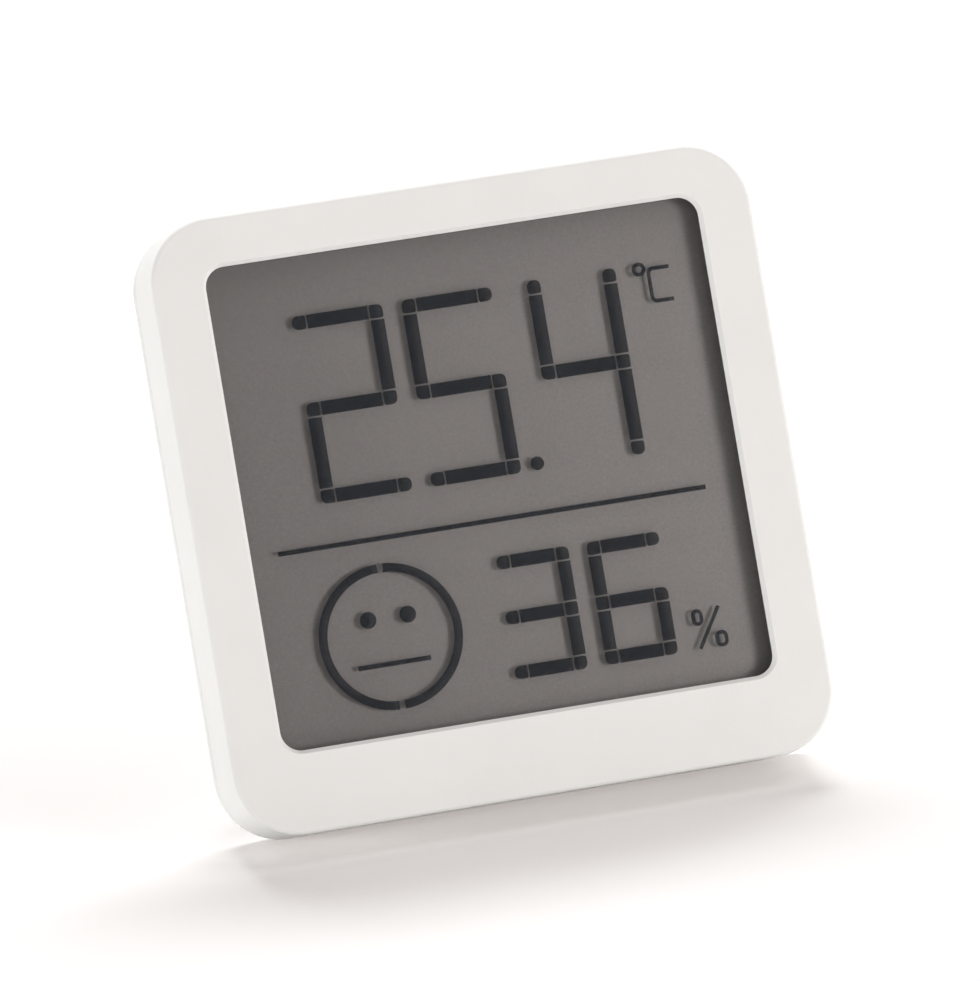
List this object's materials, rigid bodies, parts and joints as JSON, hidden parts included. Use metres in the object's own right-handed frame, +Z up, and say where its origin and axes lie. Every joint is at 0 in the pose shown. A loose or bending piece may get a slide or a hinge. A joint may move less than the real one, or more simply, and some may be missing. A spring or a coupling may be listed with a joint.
{
  "type": "temperature humidity sensor",
  "caption": "Square desk thermometer and hygrometer with a recessed reflective display in a wide flat frame, leaning on a fold-out leg.",
  "frame": {"origin": "middle of the part on the surface it stands on", "axes": "+X to the right seen from the front, +Y from the display to the back, +Z up; stored leaning back on its leg"},
  "size_m": [0.06, 0.03, 0.0596],
  "materials": {
    "case_white": "fine matt moulded texture",
    "leg_white": "fine matt moulded texture",
    "door_white": "fine matt moulded texture",
    "button_white": "smooth satin",
    "gasket_grey": "soft tape",
    "film_matt": "anti-glare matt",
    "clear_glass": "clear",
    "seal_resin": "cured resin",
    "reflector_grey": "fine metallic grain",
    "holder_white": "matt",
    "strip_rubber": "soft",
    "board_green": "solder mask",
    "epoxy_black": "cured epoxy",
    "can_steel": "satin",
    "ceramic_tan": "fired ceramic",
    "chip_black": "moulded resin",
    "cell_steel": "satin stainless",
    "contact_nickel": "nickel plated",
    "magnet_nickel": "nickel plated",
    "screw_steel": "zinc plated"
  },
  "bodies": {
    "case": {"front_housing": "case_white", "back_cover": "case_white", "display_gasket": "gasket_grey", "front_film": "film_matt", "front_glass": "clear_glass", "crystal_seal": "seal_resin", "rear_glass": "clear_glass", "rear_film": "reflector_grey", "display_holder": "holder_white", "contact_strip": "strip_rubber", "circuit_board": "board_green", "controller_blob": "epoxy_black", "clock_crystal": "can_steel", "capacitors": "ceramic_tan", "resistors": "chip_black", "sensor_chip": "chip_black", "switch_body": "can_steel", "coin_cell": "cell_steel", "positive_contact": "contact_nickel", "negative_contact": "contact_nickel", "magnets": "magnet_nickel", "case_screws": "screw_steel"},
    "leg": {"stand_leg": "leg_white"},
    "door": {"battery_door": "door_white"},
    "button": {"unit_button": "button_white", "switch_plunger": "chip_black"}
  },
  "joints": [
    {"name": "leg_fold", "type": "hinge", "parent": "case", "child": "leg", "pos_m": [0, 0.00795, 0.03963], "axis": [-1, 0, 0], "range_deg": [0, 25]},
    {"name": "battery_door_turn", "type": "hinge", "parent": "case", "child": "door", "pos_m": [0, 0.00404, 0.02509], "axis": [0, 0.9397, -0.342], "range_deg": [0, 40]},
    {"name": "unit_button_press", "type": "slide", "parent": "case", "child": "button", "axis": [0, -0.9397, 0.342], "range_m": [0, 0.0003], "stiffness_N_per_m": 3000}
  ]
}
